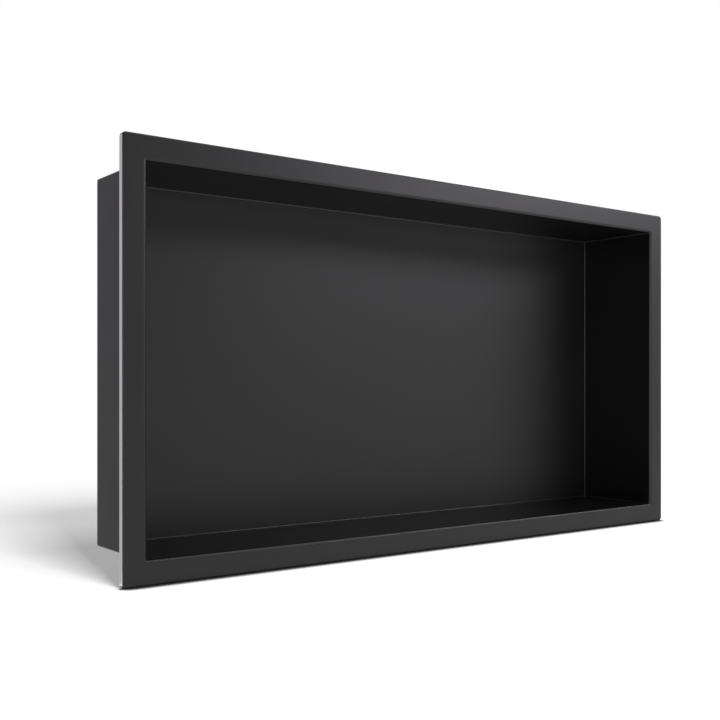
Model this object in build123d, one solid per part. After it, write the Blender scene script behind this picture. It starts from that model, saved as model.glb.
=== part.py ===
"""Shower niche insert: an open steel tray, folded and welded into one piece, with a flange round its mouth
that covers the edge of the hole in the wall.

Frame, in millimetres: +X is to the right and +Z is up as one looks into the niche, and +Y goes into the wall.
The origin is the middle of the plane where the flange's lip meets the wall.
"""

import os

from build123d import *

# Driving dimensions
mouth_width = 600.0  # between the inner faces of the two side walls
mouth_height = 300.0  # between the inner faces of the floor and ceiling walls
inside_depth = 93.5  # from the flange's face to the inner face of the back
flange_width = 20.0  # from a wall's inner face to the flange's outer edge
lip_depth = 5.4  # from the flange's face to the rear edge of its lip
sheet = 1.5  # thickness of the sheet, the same all over

# Radii of the folds, each on the hollow side, so that the other side has the sheet's thickness added
tray_fold = 0.5  # from wall to wall and from wall to back
mouth_fold = 1.5  # from wall to flange
lip_fold = 0.3  # from flange to lip
lip_corner = 2.5  # from lip to lip, round the flange's corners

# Depths along Y
flange_face = -lip_depth
back_inside = flange_face + inside_depth


def plain_block(width, height, front, rear):
    """A sharp-edged block, centred on the niche, from one depth to another."""
    outline = Plane.XZ.offset(-front) * Rectangle(width, height)
    return extrude(outline, amount=rear - front, dir=(0, 1, 0))


def tray_block(skin):
    """The hollow of the tray, grown on its closed sides by the thickness of a skin."""
    block = plain_block(mouth_width + 2 * skin, mouth_height + 2 * skin, flange_face, back_inside + skin)
    mouth_face = block.faces().sort_by(Axis.Y)[0]
    return fillet(block.edges() - mouth_face.edges(), tray_fold + skin)


def flange_block(skin):
    """The hollow behind the flange, grown on its closed sides by the thickness of a skin."""
    reach = flange_width - sheet + skin
    block = plain_block(mouth_width + 2 * reach, mouth_height + 2 * reach, flange_face + sheet - skin, 0.0)
    block = fillet(block.edges().filter_by(Axis.Y), lip_corner + skin)
    front_face = block.faces().sort_by(Axis.Y)[0]
    return fillet(front_face.edges(), lip_fold + skin)


def fold_mouth(sharp_mouthed):
    """Rounds both sides of the fold where the walls turn out to become the flange."""
    flange_front = sharp_mouthed.faces().filter_by(Axis.Y).sort_by(Axis.Y)[0]
    outside_folded = fillet(flange_front.inner_wires().edges(), mouth_fold + sheet)
    flange_rear = outside_folded.faces().filter_by(Axis.Y).sort_by(Axis.Y)[1]
    return fillet(flange_rear.inner_wires().edges(), mouth_fold)


def niche_insert():
    """The whole sheet: back, four walls, flange and lip."""
    flange = flange_block(sheet) - flange_block(0.0)
    return fold_mouth(flange + tray_block(sheet) - tray_block(0.0))


os.makedirs("parts", exist_ok=True)
insert = niche_insert()
export_step(insert, "parts/niche_insert.step")
print("niche_insert volume, cubic millimetres:", round(insert.volume))
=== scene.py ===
# %% [markdown]
# # A shower niche insert in satin black steel
#
# The object is a shallow open box that is set into a shower wall as a shelf. It is one sheet of steel,
# folded into a tray with a flange round its mouth, and coated black. The shape comes from the packed
# model, already at its real size and with every fold in it. So this lesson is about what is left: the
# camera, the floor, the light and, most of all, a coating that behaves like the real one.
#
# The first cell loads the imported model. Its box is kept, because later cells work out sizes from it.

# %% Load the imported model
import math

import bpy
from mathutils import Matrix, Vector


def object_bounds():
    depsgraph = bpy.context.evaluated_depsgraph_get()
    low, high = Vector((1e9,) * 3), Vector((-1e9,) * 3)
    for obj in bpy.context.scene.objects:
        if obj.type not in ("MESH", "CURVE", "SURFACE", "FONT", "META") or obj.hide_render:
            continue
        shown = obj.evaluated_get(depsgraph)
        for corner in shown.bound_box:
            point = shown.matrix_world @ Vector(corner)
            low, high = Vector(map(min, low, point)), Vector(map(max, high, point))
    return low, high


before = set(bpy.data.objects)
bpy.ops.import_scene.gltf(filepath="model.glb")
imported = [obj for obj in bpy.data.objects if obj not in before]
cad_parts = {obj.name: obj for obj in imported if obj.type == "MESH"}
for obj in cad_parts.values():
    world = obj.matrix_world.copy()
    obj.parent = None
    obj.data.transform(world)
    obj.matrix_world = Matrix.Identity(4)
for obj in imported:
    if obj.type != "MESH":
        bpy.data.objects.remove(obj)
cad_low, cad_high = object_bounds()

MM = 0.001
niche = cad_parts["niche_insert"]
cad_size = cad_high - cad_low
print("niche_insert:", len(niche.data.polygons), "faces, metres", [round(v, 4) for v in cad_size])

# %% [markdown]
# ## The camera
#
# A camera can be placed by eye, or worked out from the straight edges of the photograph. The edges are
# long here, so they were used: they give a level camera to the left of the niche, a normal lens, and a
# horizon a little below the middle of the picture. A level camera keeps upright edges upright, and the
# small upward shift of the lens, not a tilt, brings the niche to its place in the frame.

# %% Place the camera
PICTURE_SIDE = 720  # pixels
HORIZON_ROW = 384.3  # pixels down from the top of the picture
FOCAL_PIXELS = 1006.9
CAMERA_PLACE = (-0.6237, -0.7070, -0.0179)  # metres
CAMERA_TURN = math.radians(36.691)  # to the right
LEVEL = math.radians(90)  # a new camera or lamp faces down, and this turn lifts it level

bpy.ops.object.select_all(action="DESELECT")
bpy.ops.object.camera_add(location=CAMERA_PLACE, rotation=(LEVEL, 0, -CAMERA_TURN))
camera = bpy.context.object
camera.name = "photo_camera"
camera.data.lens = FOCAL_PIXELS / PICTURE_SIDE * camera.data.sensor_width
camera.data.shift_y = (HORIZON_ROW - PICTURE_SIDE / 2) / PICTURE_SIDE
bpy.context.scene.camera = camera
bpy.context.scene.view_settings.view_transform = "Standard"
print("lens", round(camera.data.lens, 2), "mm, shift", round(camera.data.shift_y, 4))

# %% [markdown]
# ## Small helpers for node trees
#
# Every material here is a node tree written in code. It could be written out node by node, but a few
# helpers keep it readable: one adds a node and sets its fields, one joins two sockets, and the others add
# the nodes that come up again and again. Wherever a helper takes an input, that is a socket or a plain
# number.

# %% Define the helpers
def add_node(tree, kind, label="", **fields):
    """Adds a node of a kind to a tree, with a label and any of its fields set."""
    node = tree.nodes.new(kind)
    node.label = label
    for name, value in fields.items():
        setattr(node, name, value)
    return node


def join(tree, source, target):
    """Joins an output socket to an input socket, or sets the input to a plain value."""
    if isinstance(source, bpy.types.NodeSocket):
        tree.links.new(source, target)
    else:
        target.default_value = source


def math_node(tree, operation, *values, label=""):
    """Adds a Math node and returns its output socket."""
    node = add_node(tree, "ShaderNodeMath", label, operation=operation)
    for value, socket in zip(values, node.inputs):
        join(tree, value, socket)
    return node.outputs[0]


def smooth_ramp(tree, value, start, end, low=0.0, high=1.0, label=""):
    """Adds a Map Range node that goes smoothly from one value to another, and returns its output socket."""
    node = add_node(tree, "ShaderNodeMapRange", label, interpolation_type="SMOOTHSTEP")
    settings = {"Value": value, "From Min": start, "From Max": end, "To Min": low, "To Max": high}
    for name, setting in settings.items():
        join(tree, setting, node.inputs[name])
    return node.outputs["Result"]


def axes_of(tree, vector):
    """Adds a Separate XYZ node and returns its three output sockets."""
    node = add_node(tree, "ShaderNodeSeparateXYZ")
    join(tree, vector, node.inputs[0])
    return node.outputs


def mix_shaders(tree, share, first, second, label=""):
    """Adds a Mix Shader node, where a share of 1 is all second, and returns its output socket."""
    node = add_node(tree, "ShaderNodeMixShader", label)
    for source, socket in zip((share, first, second), node.inputs):
        join(tree, source, socket)
    return node.outputs[0]


helpers = (add_node, join, math_node, smooth_ramp, axes_of, mix_shaders)
print("helpers:", [helper.__name__ for helper in helpers])

# %% [markdown]
# ## Kinds of rays
#
# A renderer follows rays, and the Light Path node tells a shader what kind of ray has met it. In a studio
# the floor and the walls are set up by hand for the picture. Here they can look one way to the camera and
# another way in reflections, which saves lamps and reflector boards. Only the floor and the room use
# this. The niche itself looks the same to every ray.

# %% Tell the rays apart
def ray_kinds(tree):
    """Two sockets: 1 for what the camera sees, and 1 for what shows in reflections or through glass."""
    path = add_node(tree, "ShaderNodeLightPath").outputs
    mirrored = math_node(tree, "MAXIMUM", path["Is Glossy Ray"], path["Is Transmission Ray"])
    return path["Is Camera Ray"], mirrored


print("kinds of rays: seen by the camera, mirrored")

# %% [markdown]
# ## The painted shade of contact
#
# The niche stands on its flange, and a thin dark line runs along the floor there, where hardly any light
# gets in. Under soft lamps it can come out faint, so the line is painted shade. Ambient occlusion finds
# the place for it: it says how open a spot is to the air above it. Where the flange almost touches the
# floor that falls low, and a ramp turns it into the painted line of shade.

# %% Paint the shade of contact
CONTACT_REACH = 14 * MM  # how far the ambient occlusion looks for the niche
CONTACT_SAMPLES = 16
CONTACT_OPEN = (0.55, 0.95)  # openness at which the dark line is full, and at which it ends
# painted shade: how much of the floor's white is left in the line of contact
CONTACT_SHADE_DARK = 0.04  # share of the white that is left in the line
MIRRORED_OPEN = (0.55, 0.7)  # the same two for the narrower line that reflections show


def painted_contact_shade(tree, mirrored):
    """Two sockets of painted shade, for the paint and the glow: 1 on the open floor, and less where the
    niche stands.
    """
    near = add_node(tree, "ShaderNodeAmbientOcclusion", "touched by the niche", samples=CONTACT_SAMPLES)
    near.inputs["Distance"].default_value = CONTACT_REACH
    openness = near.outputs["AO"]
    on_paint = smooth_ramp(tree, openness, *CONTACT_OPEN, CONTACT_SHADE_DARK, 1.0, "painted shade where it stands")
    narrow = smooth_ramp(tree, openness, *MIRRORED_OPEN, label="narrow line for reflections")
    narrow = math_node(tree, "MULTIPLY", narrow, mirrored)
    on_glow = math_node(tree, "MAXIMUM", on_paint, narrow, label="line of contact")
    return on_paint, on_glow


print("line of contact within", round(CONTACT_REACH / MM, 1), "mm of the niche")

# %% [markdown]
# ## The floor's paint
#
# The floor is white. It can be made so by more light alone, but its bounce would turn the black steel
# grey. So what the camera sees near the niche is partly matt paint, which takes the shadow, and partly a
# plain glow. Farther out it is glow alone, which runs into the white of the room with no edge.
# Reflections show the floor as glow alone, bright in front of the niche and dimmer behind it, so that the
# steel doesn't mirror the shadow.

# %% Mix the floor's paint
FLOOR_WHITE = (0.95, 0.95, 0.95, 1)
BLACK = (0, 0, 0, 1)
NEAR_GLOW = 0.345  # share of glow in what the camera sees by the niche
SHADOW_REACH = (0.45, 0.95)  # metres from the niche's middle where the paint starts to fade and is gone
FLOOR_MIRRORED = 0.88  # strength of the glow that reflections show in front of the niche
BACKDROP = 0.5  # its strength behind the niche, the same as the backdrop's there
FLOOR_FADE = (0.0, 0.03)  # metres behind the wall's plane between which the one turns into the other


def matt_paint(tree, line):
    """The white paint, with painted shade along the line of contact."""
    shade = add_node(tree, "ShaderNodeMix", "paint and contact line", data_type="RGBA")
    join(tree, line, shade.inputs["Factor"])
    shade.inputs["A"].default_value = BLACK
    shade.inputs["B"].default_value = FLOOR_WHITE
    paint = add_node(tree, "ShaderNodeBsdfDiffuse")
    join(tree, shade.outputs["Result"], paint.inputs["Color"])
    return paint.outputs[0]


def floor_glow(tree, place, seen, line):
    """The glow: white for the camera, and in reflections bright before the niche and dimmer behind it."""
    into_wall = axes_of(tree, place)["Y"]
    reflected = smooth_ramp(tree, into_wall, *FLOOR_FADE, FLOOR_MIRRORED, BACKDROP, "dimmer behind")
    level = math_node(tree, "MAXIMUM", seen, reflected, label="white for the camera")
    glow = add_node(tree, "ShaderNodeEmission")
    # painted shade: the glow dims along the line of contact as well
    join(tree, math_node(tree, "MULTIPLY", level, line), glow.inputs["Strength"])
    return glow.outputs[0]


def floor_paint():
    """White matt paint that fades to a plain white glow away from the niche."""
    material = bpy.data.materials.new("floor_paint")
    material.use_nodes = True
    tree = material.node_tree
    tree.nodes.clear()
    place = add_node(tree, "ShaderNodeTexCoord").outputs["Object"]
    distance = add_node(tree, "ShaderNodeVectorMath", "distance from the niche", operation="LENGTH")
    join(tree, place, distance.inputs[0])
    seen, mirrored = ray_kinds(tree)
    far = smooth_ramp(tree, distance.outputs["Value"], *SHADOW_REACH, NEAR_GLOW, 1.0, "more glow far out")
    far = math_node(tree, "MULTIPLY", far, seen)
    glow_share = math_node(tree, "MAXIMUM", far, mirrored, label="paint or glow")
    on_paint, on_glow = painted_contact_shade(tree, mirrored)
    paint = matt_paint(tree, on_paint)
    glow = floor_glow(tree, place, seen, on_glow)
    surface = mix_shaders(tree, glow_share, paint, glow)
    join(tree, surface, add_node(tree, "ShaderNodeOutputMaterial").inputs["Surface"])
    material.cycles.emission_sampling = "NONE"  # the glow is no lamp: only rays that meet it see it
    return material


white_floor = floor_paint()
print("floor paint with", len(white_floor.node_tree.nodes), "nodes")

# %% [markdown]
# ## The floor itself
#
# The floor is stage and not part of the object, so a flat disc is enough. It could be curved up behind
# the niche, as a studio's paper roll is, but its rim can't be told from the room, because the camera sees
# both as the same plain white. It lies at the lowest point of the niche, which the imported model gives.

# %% Lay the floor
FLOOR_RADIUS = 6.0  # metres
FLOOR_CORNERS = 96

bpy.ops.object.select_all(action="DESELECT")
bpy.ops.mesh.primitive_circle_add(
    vertices=FLOOR_CORNERS, radius=FLOOR_RADIUS, fill_type="NGON", location=(0, 0, cad_low.z)
)
bpy.ops.object.transform_apply(location=True, rotation=True, scale=True)
floor = bpy.context.object
floor.name = "floor"
floor.data.materials.append(white_floor)
print("floor at", round(cad_low.z, 4), "m, radius", FLOOR_RADIUS)

# %% [markdown]
# ## The room
#
# The camera looks into plain white, and reflections show a backdrop behind the niche and a darker studio
# in front of it, where the camera stands. A black satin sheet in a room that is white all round would
# turn grey. The world shader tells the rays apart with Light Path, so it isn't sampled as a lamp: only
# rays that leave a surface find it.

# %% Make the room
WHITE = (1, 1, 1, 1)
ROOM_LIGHT = 0.1
BACKDROP_TINT = (1.0, 0.95, 1.03, 1)
BACKDROP_EDGE = (-0.1, 0.4)  # how far back a direction points where the backdrop starts and is full


def background(room, label, colour, strength):
    """Adds a Background node and returns its output socket."""
    node = add_node(room, "ShaderNodeBackground", label)
    node.inputs["Color"].default_value = colour
    join(room, strength, node.inputs["Strength"])
    return node.outputs[0]


def studio_room():
    """A world that is white for the camera, a tinted backdrop in reflections, and a dim light otherwise."""
    world = bpy.data.worlds.new("studio_room")
    world.use_nodes = True
    world.cycles.sampling_method = "NONE"
    room = world.node_tree
    room.nodes.clear()
    direction = add_node(room, "ShaderNodeTexCoord").outputs["Generated"]
    backward = axes_of(room, direction)["Y"]
    behind = smooth_ramp(room, backward, *BACKDROP_EDGE, ROOM_LIGHT, BACKDROP, "backdrop behind the niche")
    seen, mirrored = ray_kinds(room)
    white = background(room, "what the camera sees", WHITE, 1.0)
    backdrop = background(room, "what reflections show", BACKDROP_TINT, behind)
    light = background(room, "what lights the niche", WHITE, ROOM_LIGHT)
    unseen = mix_shaders(room, mirrored, light, backdrop, "light or reflection")
    whole = mix_shaders(room, seen, unseen, white, "room or camera")
    join(room, whole, add_node(room, "ShaderNodeOutputWorld").inputs["Surface"])
    return world


bpy.context.scene.world = studio_room()
print("room light", ROOM_LIGHT, "backdrop", BACKDROP)

# %% [markdown]
# ## The studio lights
#
# In a studio, a black thing is lit by what it mirrors, not by what falls on it: nearly every grey on the
# niche is the blurred picture of a softbox. The floor needs light of its own for its white and for the
# soft shadow. Light linking keeps the two jobs apart: each lamp gets a collection with the one thing that
# it lights, and the niche still casts its shadow into the floor's light. Every lamp is a rectangle that
# faces a point, so one function makes them all, and the floor's two come first.

# %% Light the floor
PLAIN = (1, 1, 1)
MIDDLE = (0, 0, 0)


def only(name, thing):
    """A collection that holds one thing, to be lit by some of the lamps alone."""
    collection = bpy.data.collections.new(name)
    collection.objects.link(thing)
    return collection


def softbox(name, lights, bearing, height, distance, width, tall, brightness, aim=MIDDLE, tint=PLAIN):
    """A rectangular lamp that faces a point. Its bearing to the right and its height are in degrees."""
    turn = math.radians(bearing)
    lift = math.radians(height)
    place = (
        aim[0] + distance * math.sin(turn) * math.cos(lift),
        aim[1] - distance * math.cos(turn) * math.cos(lift),
        aim[2] + distance * math.sin(lift),
    )
    bpy.ops.object.light_add(type="AREA", location=place, rotation=(LEVEL - lift, 0, turn))
    lamp = bpy.context.object
    lamp.name = name
    lamp.data.shape = "RECTANGLE"
    lamp.data.size = width
    lamp.data.size_y = tall
    lamp.data.energy = math.pi * width * tall * brightness  # the power follows the face's size
    lamp.data.color = tint
    lamp.visible_camera = False
    lamp.light_linking.receiver_collection = lights
    print(name, [round(v, 2) for v in place], round(lamp.data.energy, 1), "W")


bpy.ops.object.select_all(action="DESELECT")
floor_only = only("floor_only", floor)
softbox("high_key", floor_only, bearing=8, height=62, distance=5.0, width=1.0, tall=1.8, brightness=18.5)
softbox("low_key", floor_only, bearing=-8, height=32, distance=5.0, width=1.6, tall=1.74, brightness=44)

# %% [markdown]
# ## The softboxes of the niche
#
# Five softboxes make the greys of the niche: a bright one high on the right, a dim one beside it, two low
# ones that fill the flange and the folds, and a wide one overhead. One large lamp would be simpler, but
# then the four bars of the flange would look alike, and here each is to have a grey of its own. The lamps
# have a trace of violet, as the backdrop has.

# %% Light the niche
SOFTBOX_TINT = (1.0, 0.96, 1.02)
NEAR_AIM = (0.1, 0, 0.05)  # the point of the mouth that the two near softboxes face

bpy.ops.object.select_all(action="DESELECT")
niche_only = only("niche_only", niche)
softbox(
    "main_softbox", niche_only, bearing=47, height=26, distance=1.1,
    width=0.78, tall=0.23, brightness=8.1, aim=NEAR_AIM, tint=SOFTBOX_TINT,
)
softbox(
    "side_softbox", niche_only, bearing=86, height=20, distance=1.3,
    width=0.45, tall=0.5, brightness=1.2, aim=NEAR_AIM, tint=SOFTBOX_TINT,
)
softbox(
    "low_softbox", niche_only, bearing=42, height=3, distance=2.5,
    width=2.3, tall=0.5, brightness=1.05, tint=SOFTBOX_TINT,
)
softbox(
    "left_softbox", niche_only, bearing=-33, height=5, distance=2.5,
    width=2.7, tall=0.6, brightness=2.5, tint=SOFTBOX_TINT,
)
softbox(
    "top_softbox", niche_only, bearing=25, height=62, distance=2.5,
    width=2.2, tall=1.1, brightness=2.5, tint=SOFTBOX_TINT,
)

# %% [markdown]
# ## The skin of the coating
#
# Powder coating is sprayed on as dust and melted in an oven. It is never quite smooth: it keeps a fine
# skin like orange peel, with smaller specks in it, and its gloss drifts a little over a wide sheet. Each
# effect is a node group, built once and placed where it is needed. A group hands out plain values and
# masks, and the shader that uses them stays in the material. All of them read the place in the niche's
# own frame, in metres, so they stay put in any view.

# %% Make the groups for skin and drift
SPECK_SHARE = 0.25  # height of the specks beside that of the pebbles
NOISE_SPAN = (0.25, 0.75)  # what the values of a noise mostly lie between


def new_group(name, inputs, outputs):
    """Starts a shader node group, and returns it with its inner input and output sockets."""
    tree = bpy.data.node_groups.new(name, "ShaderNodeTree")
    for socket_name in inputs:
        kind = "NodeSocketVector" if socket_name == "Place" else "NodeSocketFloat"
        tree.interface.new_socket(socket_name, in_out="INPUT", socket_type=kind)
    for socket_name in outputs:
        tree.interface.new_socket(socket_name, in_out="OUTPUT", socket_type="NodeSocketFloat")
    given = add_node(tree, "NodeGroupInput").outputs
    result = add_node(tree, "NodeGroupOutput").inputs
    return tree, given, result


def noise(tree, place, size, detail, label):
    """Adds a noise whose lumps are about as wide as a size, and returns its output socket, from 0 to 1."""
    node = add_node(tree, "ShaderNodeTexNoise", label)
    join(tree, place, node.inputs["Vector"])
    join(tree, math_node(tree, "DIVIDE", 1.0, size), node.inputs["Scale"])
    node.inputs["Detail"].default_value = detail
    return node.outputs["Fac"]


def powder_skin_group():
    """The skin of a powder coating: soft pebbles with fine specks on them."""
    inputs = ("Place", "Pebble Size", "Speck Size")
    tree, given, result = new_group("powder_skin", inputs, ("Height", "Speck"))
    pebbles = noise(tree, given["Place"], given["Pebble Size"], detail=1.0, label="pebbles")
    specks = noise(tree, given["Place"], given["Speck Size"], detail=2.0, label="specks")
    lower = math_node(tree, "MULTIPLY", specks, SPECK_SHARE)
    join(tree, math_node(tree, "ADD", pebbles, lower, label="skin"), result["Height"])
    join(tree, specks, result["Speck"])
    return tree


def slow_drift_group():
    """A slow change over the sheet, from -1 to 1."""
    tree, given, result = new_group("slow_drift", ("Place", "Patch Size"), ("Drift",))
    patches = noise(tree, given["Place"], given["Patch Size"], detail=2.0, label="patches")
    join(tree, smooth_ramp(tree, patches, *NOISE_SPAN, -1.0, 1.0), result["Drift"])
    return tree


powder_skin = powder_skin_group()
slow_drift = slow_drift_group()
print("node groups:", powder_skin.name, slow_drift.name)

# %% [markdown]
# ## Where on the sheet
#
# The finish changes along the folds and along the lip, and all of them run round the niche as rectangles.
# A mask could be painted on by hand, but a distance from a rectangle is exact and follows the niche's
# size. One more node group measures it, and is placed once for the mouth and once for the flange. The
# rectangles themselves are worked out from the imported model's box.

# %% Make the group that measures from a rectangle
FLANGE_BAR = 20 * MM  # width of the flange, all round
SHEET = 1.5 * MM  # thickness of the steel

mouth_width = cad_size.x - 2 * FLANGE_BAR
mouth_height = cad_size.z - 2 * FLANGE_BAR
back_inside = cad_high.y - SHEET


def rim_group():
    """Reach past the sides of an upright rectangle: Outside past any side, Corner past two at once."""
    tree, given, result = new_group("rim", ("Place", "Width", "Height"), ("Outside", "Corner"))
    axes = axes_of(tree, given["Place"])
    reach = []
    for axis, size in (("X", "Width"), ("Z", "Height")):
        half = math_node(tree, "MULTIPLY", given[size], 0.5)
        reach.append(math_node(tree, "SUBTRACT", math_node(tree, "ABSOLUTE", axes[axis]), half))
    join(tree, math_node(tree, "MAXIMUM", *reach), result["Outside"])
    join(tree, math_node(tree, "MINIMUM", *reach), result["Corner"])
    return tree


def use_group(tree, group, label, **values):
    """Places a node group in a material, with its inputs given, and returns its output sockets."""
    node = add_node(tree, "ShaderNodeGroup", label, node_tree=group)
    for name, value in values.items():
        join(tree, value, node.inputs[name.replace("_", " ")])
    return node.outputs


rim = rim_group()
print("mouth", round(mouth_width, 4), "x", round(mouth_height, 4), "m, back at", round(back_inside, 4), "m")

# %% [markdown]
# ## The folds
#
# Molten powder runs smoother in a fold. On the real niche that shows on the wall's side of the fold round
# the mouth, and in the folds of the tray, where two walls meet or a wall meets the back. Each mask is the
# product of two ramps: one that starts it and one that ends it, or one for each of the faces that meet.

# %% Find the folds
MOUTH_FOLD = 3.0 * MM  # radius of the fold from wall to flange, on the side that shows
TRAY_FOLD = 0.5 * MM  # radius of the folds inside the tray
WALL_EDGE = (-0.5 * MM, 0.3 * MM)  # past a wall's face, where the smooth part of the mouth fold sets in
FLAT_EDGE = (0.1 * MOUTH_FOLD, 0.6 * MOUTH_FOLD)  # past a wall's face, where it dies out towards the flange
CORNER_EDGE = (-1.6 * TRAY_FOLD, -1.2 * TRAY_FOLD)  # before a face, where a fold of the tray sets in
INSIDE_EDGE = (0.1 * MM, 0.3 * MM)  # past a wall's face, where the inside of the tray ends


# the mask of the tray folds also places a painted highlight, in the colours further on
def fold_masks(tree, place, depth):
    """Two sockets: 1 in the folds of the mouth and the tray, and 1 in those of the tray alone."""
    mouth = use_group(tree, rim, "mouth", Place=place, Width=mouth_width, Height=mouth_height)
    past_wall = smooth_ramp(tree, mouth["Outside"], *WALL_EDGE, label="past the wall")
    before_flat = smooth_ramp(tree, mouth["Outside"], *FLAT_EDGE, 1.0, 0.0, "before the flat")
    mouth_fold = math_node(tree, "MULTIPLY", past_wall, before_flat, label="mouth fold")
    by_wall = smooth_ramp(tree, mouth["Outside"], *CORNER_EDGE, label="by a wall")
    back_edge = [back_inside + edge for edge in CORNER_EDGE]
    by_back = smooth_ramp(tree, depth, *back_edge, label="by the back")
    back_fold = math_node(tree, "MULTIPLY", by_wall, by_back, label="back fold")
    by_two_walls = smooth_ramp(tree, mouth["Corner"], *CORNER_EDGE, label="by two walls")
    inside = smooth_ramp(tree, mouth["Outside"], *INSIDE_EDGE, 1.0, 0.0, "inside the mouth")
    wall_fold = math_node(tree, "MULTIPLY", by_two_walls, inside, label="wall fold")
    tray_folds = math_node(tree, "MAXIMUM", back_fold, wall_fold, label="tray folds")
    all_folds = math_node(tree, "MAXIMUM", mouth_fold, tray_folds, label="folds")
    return all_folds, tray_folds


print("mouth fold", round(MOUTH_FOLD / MM, 2), "mm, tray folds", round(TRAY_FOLD / MM, 2), "mm")

# %% [markdown]
# ## The painted highlight on the lip
#
# On the outer side of the flange's lip a light grey metal is a painted highlight, a thin bright line round
# the black. It could be a material of its own on some of the faces, but then the line would end as
# sharply as the faces do. Here a mask made from the place of the lip turns coating into metal. The specks
# of the skin push its edge to and fro, so that it is a little uneven.

# %% Find the painted highlight on the lip
HIGHLIGHT_SIDE = -0.36 * MM  # where the steel starts, past the flange's outer edge
HIGHLIGHT_DEPTH = 0.8 * MM  # where it starts, behind the flange's face
EDGE_BLUR = 0.1 * MM
EDGE_RAGGED = 0.3 * MM
SPECK_MIDDLE = 0.5


def blurred_edge(tree, value, edge, label):
    """Goes from 0 to 1 across an edge, over a short way to each side of it."""
    return smooth_ramp(tree, value, edge - EDGE_BLUR, edge + EDGE_BLUR, label=label)


def lip_highlight_mask(tree, place, depth, speck):
    """A socket that is 1 on the outer side of the lip, where the painted highlight goes."""
    flange = use_group(tree, rim, "flange", Place=place, Width=cad_size.x, Height=cad_size.z)
    to_and_fro = math_node(tree, "SUBTRACT", speck, SPECK_MIDDLE)
    ragged = math_node(tree, "MULTIPLY", to_and_fro, EDGE_RAGGED, label="ragged edge")
    outward = math_node(tree, "ADD", flange["Outside"], ragged)
    rearward = math_node(tree, "ADD", depth, ragged)
    at_side = blurred_edge(tree, outward, HIGHLIGHT_SIDE, "outer side")
    past_front = blurred_edge(tree, rearward, cad_low.y + HIGHLIGHT_DEPTH, "past the front")
    return math_node(tree, "MULTIPLY", at_side, past_front, label="painted lip highlight")


print("painted lip highlight from", round((cad_low.y + HIGHLIGHT_DEPTH) / MM, 2), "mm of depth to the lip's rear edge")

# %% [markdown]
# ## The colours
#
# The coating is a deep black with almost no colour of its own. One dark colour would pass from far away,
# but a real sheet shows a little more: its tone drifts. The folds of the tray get a lighter grey, a painted
# highlight that draws fine bright lines in the corners. The lip's outer side gets a light grey metal, a
# painted highlight.
# All of them are neutral, so one value is worked out and used for red, green and blue.

# %% Mix the colours
COATING_BLACK = 0.003
TONE_DRIFT = 0.1  # share of the black, to either side
# painted highlight: the lighter grey of the tray folds draws the bright lines that their shine makes
TRAY_FOLD_HIGHLIGHT_GREY = 0.028  # tone of the folds of the tray
# painted highlight: the light grey metal on the lip's outer side
LIP_HIGHLIGHT_GREY = 0.8


def mix_value(tree, share, low, high, label):
    """Adds a Mix node that goes from one value to another by a share, and returns its output socket."""
    node = add_node(tree, "ShaderNodeMix", label, data_type="FLOAT")
    for name, value in (("Factor", share), ("A", low), ("B", high)):
        join(tree, value, node.inputs[name])
    return node.outputs["Result"]


def coating_colour(tree, drift, tray_folds, lip_highlight):
    """The neutral grey of coating and painted highlights, in the tray folds and on the lip."""
    darkest = COATING_BLACK * (1 - TONE_DRIFT)
    lightest = COATING_BLACK * (1 + TONE_DRIFT)
    tone = smooth_ramp(tree, drift, -1.0, 1.0, darkest, lightest, "black")
    # painted highlight: the tray folds are a shade lighter than the black
    coat = mix_value(tree, tray_folds, tone, TRAY_FOLD_HIGHLIGHT_GREY, "painted tray fold highlight")
    # painted highlight: coating turns into light grey metal on the lip's outer side
    grey = mix_value(tree, lip_highlight, coat, LIP_HIGHLIGHT_GREY, "coat or steel")
    colour = add_node(tree, "ShaderNodeCombineColor", "neutral grey")
    for channel in colour.inputs:
        join(tree, grey, channel)
    return colour.outputs[0]


print("black", COATING_BLACK, "tray folds", TRAY_FOLD_HIGHLIGHT_GREY, "steel", LIP_HIGHLIGHT_GREY)

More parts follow.
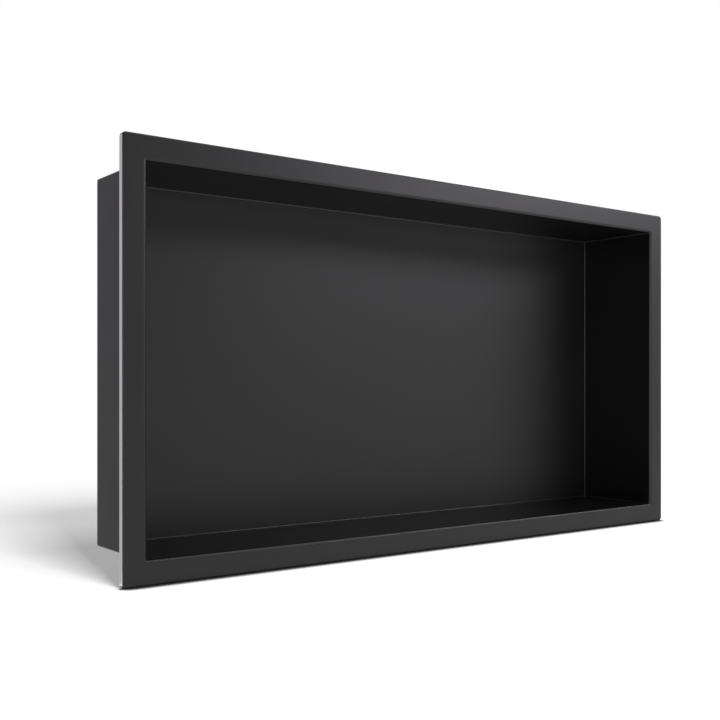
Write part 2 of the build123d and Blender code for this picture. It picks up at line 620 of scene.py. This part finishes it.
# %% [markdown]
# ## The black coating
#
# Satin is a wide soft shine, so the roughness is in the middle of its range. It drifts a little over the
# sheet, and the folds shine more sharply. The skin is a bump of a few thousandths of a millimetre. It
# could be real geometry, but at that height only its shine shows. The coating and the light grey metal of
# the painted highlight on the lip share one material, because the sheet is one piece.

# %% Make the coating
COATING_IOR = 1.5
COATING_ROUGHNESS = 0.45
GLOSS_DRIFT = 0.02  # of roughness, to either side
FOLD_ROUGHNESS = 0.26
STEEL_ROUGHNESS = 0.25
PEBBLE_SIZE = 1.3 * MM
SPECK_SIZE = 0.3 * MM
PATCH_SIZE = 55 * MM
SKIN_HEIGHT = 0.006 * MM


def black_coating():
    """Satin black powder coating, with a painted highlight of light grey metal on the lip's outer side."""
    material = bpy.data.materials.new("black_coating")
    material.use_nodes = True
    tree = material.node_tree
    shader = tree.nodes["Principled BSDF"]
    shader.inputs["IOR"].default_value = COATING_IOR
    place = add_node(tree, "ShaderNodeTexCoord").outputs["Object"]
    depth = axes_of(tree, place)["Y"]

    skin = use_group(tree, powder_skin, "skin", Place=place, Pebble_Size=PEBBLE_SIZE, Speck_Size=SPECK_SIZE)
    drift = use_group(tree, slow_drift, "gloss drift", Place=place, Patch_Size=PATCH_SIZE)["Drift"]
    all_folds, tray_folds = fold_masks(tree, place, depth)
    lip_highlight = lip_highlight_mask(tree, place, depth, skin["Speck"])

    gloss = math_node(tree, "MULTIPLY_ADD", drift, GLOSS_DRIFT, COATING_ROUGHNESS, label="gloss drift")
    gloss = mix_value(tree, all_folds, gloss, FOLD_ROUGHNESS, "smoother folds")
    join(tree, mix_value(tree, lip_highlight, gloss, STEEL_ROUGHNESS, "roughness"), shader.inputs["Roughness"])
    join(tree, lip_highlight, shader.inputs["Metallic"])
    join(tree, coating_colour(tree, drift, tray_folds, lip_highlight), shader.inputs["Base Color"])

    bump = add_node(tree, "ShaderNodeBump", "skin")
    bump.inputs["Strength"].default_value = 1.0
    bump.inputs["Distance"].default_value = SKIN_HEIGHT
    join(tree, skin["Height"], bump.inputs["Height"])
    join(tree, bump.outputs["Normal"], shader.inputs["Normal"])
    return material


coating = black_coating()
for slot in niche.material_slots:
    slot.material = coating
print("coating on", niche.name, "with", len(coating.node_tree.nodes), "nodes")
